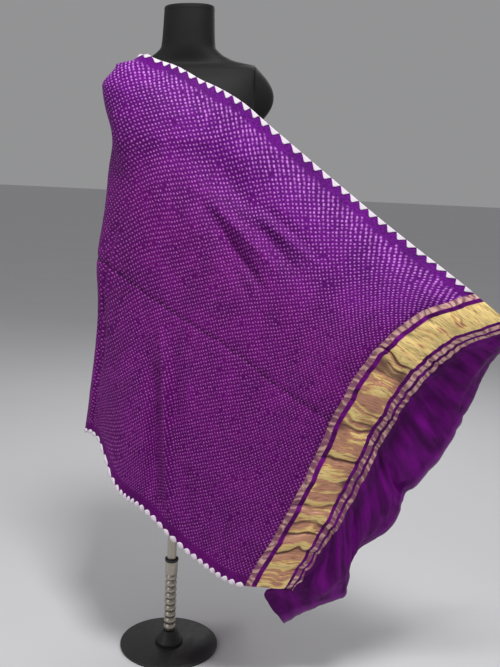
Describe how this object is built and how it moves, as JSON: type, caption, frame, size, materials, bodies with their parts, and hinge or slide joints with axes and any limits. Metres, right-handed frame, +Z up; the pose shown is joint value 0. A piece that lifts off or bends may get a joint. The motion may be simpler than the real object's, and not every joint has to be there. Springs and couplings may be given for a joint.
{
  "type": "dupatta stole on dress form",
  "caption": "Tie-dyed dotted stole with metallic borders, white edging and plain ends, draped over the shoulder of a limbless dress form on a round-based stand.",
  "frame": {"origin": "centre of the base's underside, on the floor under the pole", "axes": "+Z up along the pole, the form faces -Y, the stole's front end spreads towards +X"},
  "size_m": [0.9486, 0.5395, 1.5129],
  "materials": {
    "dotted_silk": "crinkled silk with small tied dots, soft sheen",
    "plain_silk": "plain dyed silk, soft sheen",
    "zari": "woven metallic gold thread, creased and shiny",
    "zari_thin": "metallic thread woven with the ground colour",
    "edging": "white folded cotton triangles",
    "form_cover": "smooth matt black cover",
    "grey_metal": "satin",
    "black_metal": "semi-matt black"
  },
  "bodies": {
    "root": {"back_gold_band": "zari", "back_inner_ground": "plain_silk", "back_inner_stripe": "zari_thin", "back_middle_ground": "plain_silk", "back_middle_stripe": "zari_thin", "back_outer_ground": "plain_silk", "back_outer_stripe": "zari_thin", "back_plain_end": "plain_silk", "edging_lower_back": "edging", "edging_lower_front": "edging", "edging_lower_shoulder": "edging", "edging_upper_back": "edging", "edging_upper_front": "edging", "edging_upper_shoulder": "edging", "field_back": "dotted_silk", "field_front": "dotted_silk", "field_shoulder": "dotted_silk", "form_cap_left": "form_cover", "form_cap_right": "form_cover", "form_neck_cap": "form_cover", "form_torso": "form_cover", "front_gold_band": "zari", "front_inner_ground": "plain_silk", "front_inner_stripe": "zari_thin", "front_middle_ground": "plain_silk", "front_middle_stripe": "zari_thin", "front_outer_ground": "plain_silk", "front_outer_stripe": "zari_thin", "front_plain_end": "plain_silk", "stand_base": "black_metal", "stand_boss": "black_metal", "stand_collar": "grey_metal", "stand_pole": "grey_metal", "stand_post": "grey_metal", "stand_ring": "black_metal", "stand_socket": "black_metal"}
  },
  "joints": []
}
